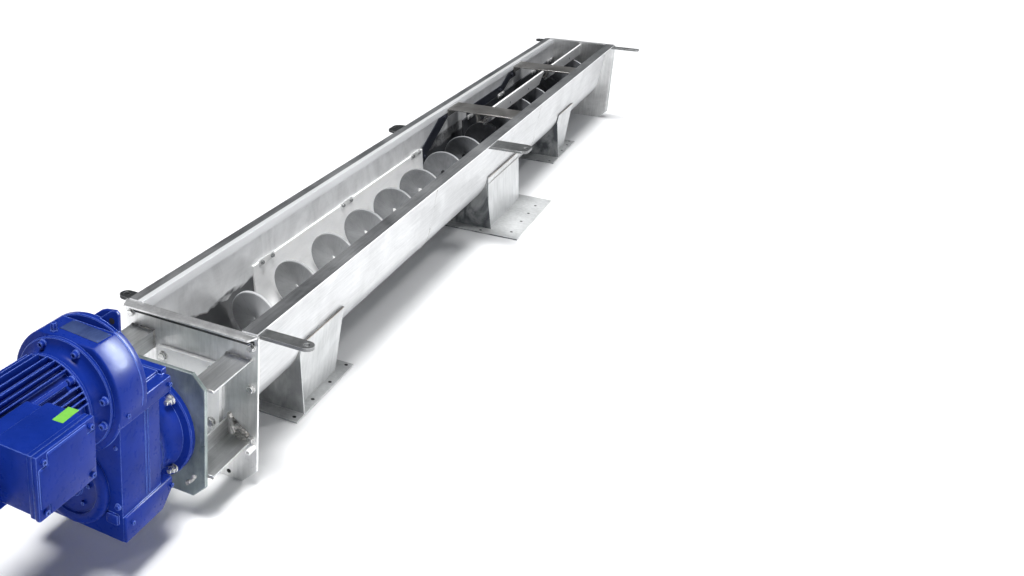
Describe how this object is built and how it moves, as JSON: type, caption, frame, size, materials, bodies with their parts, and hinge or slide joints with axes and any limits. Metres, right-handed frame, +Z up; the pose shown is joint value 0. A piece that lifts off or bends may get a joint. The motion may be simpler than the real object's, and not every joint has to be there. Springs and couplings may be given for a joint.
{
  "type": "screw conveyor",
  "caption": "Open-top shaftless screw conveyor: a wound spiral turns in a steel trough on square outlet spouts, driven by a gearmotor.",
  "frame": {"origin": "on the floor, at the middle of the drive end plate's bottom edge", "axes": "+Y along the conveyor from the drive end to the tail, +X to its right, +Z up"},
  "size_m": [0.672, 5.35, 0.668],
  "materials": {
    "stainless_steel": "satin mill-finish stainless sheet with weld discolouration",
    "zinc_steel": "dull grey zinc coat with worn edges",
    "blue_paint": "glossy blue machine enamel on castings",
    "white_plastic": "smooth white sliding plastic",
    "dark_plastic": "satin near-black wear plastic",
    "dark_steel": "dark steel strip",
    "spiral_steel": "dark grey rolled steel bar"
  },
  "bodies": {
    "conveyor": {"trough_bay_1": "stainless_steel", "trough_bay_2": "stainless_steel", "trough_bay_3": "stainless_steel", "top_rail_left": "stainless_steel", "top_rail_right": "stainless_steel", "end_plate_drive": "stainless_steel", "end_plate_tail": "stainless_steel", "end_flange_drive": "stainless_steel", "end_flange_tail": "stainless_steel", "spout_1": "stainless_steel", "spout_2": "stainless_steel", "spout_3": "stainless_steel", "crossbar_1": "stainless_steel", "crossbar_2": "stainless_steel", "lantern_strut_top_left": "stainless_steel", "lantern_strut_top_right": "stainless_steel", "lantern_strut_bottom_left": "stainless_steel", "lantern_strut_bottom_right": "stainless_steel", "lifting_lug_left_1": "stainless_steel", "lifting_lug_left_2": "stainless_steel", "lifting_lug_left_3": "stainless_steel", "lifting_lug_right_1": "stainless_steel", "lifting_lug_right_2": "stainless_steel", "lifting_lug_right_3": "stainless_steel", "motor_plate": "zinc_steel", "gear_case": "blue_paint", "output_flange": "blue_paint", "output_bearing_cover": "blue_paint", "motor_end_shield": "blue_paint", "motor_housing": "blue_paint", "motor_fan_cowl": "blue_paint", "terminal_box": "blue_paint", "terminal_box_lid": "blue_paint", "breather_plug": "blue_paint", "liner_front": "white_plastic", "hold_down_rail_1": "white_plastic", "hold_down_rail_2": "white_plastic", "seal_plate": "white_plastic", "liner_rear": "dark_plastic", "liner_strap_left_1": "dark_steel", "liner_strap_left_2": "dark_steel", "liner_strap_right_1": "dark_steel", "liner_strap_right_2": "dark_steel"},
    "screw": {"spiral": "spiral_steel", "drive_shaft": "spiral_steel"}
  },
  "joints": [
    {"name": "spiral_spin", "type": "hinge", "parent": "conveyor", "child": "screw", "pos_m": [0, 0.045, 0.246], "axis": [0, 1, 0], "continuous": true}
  ]
}
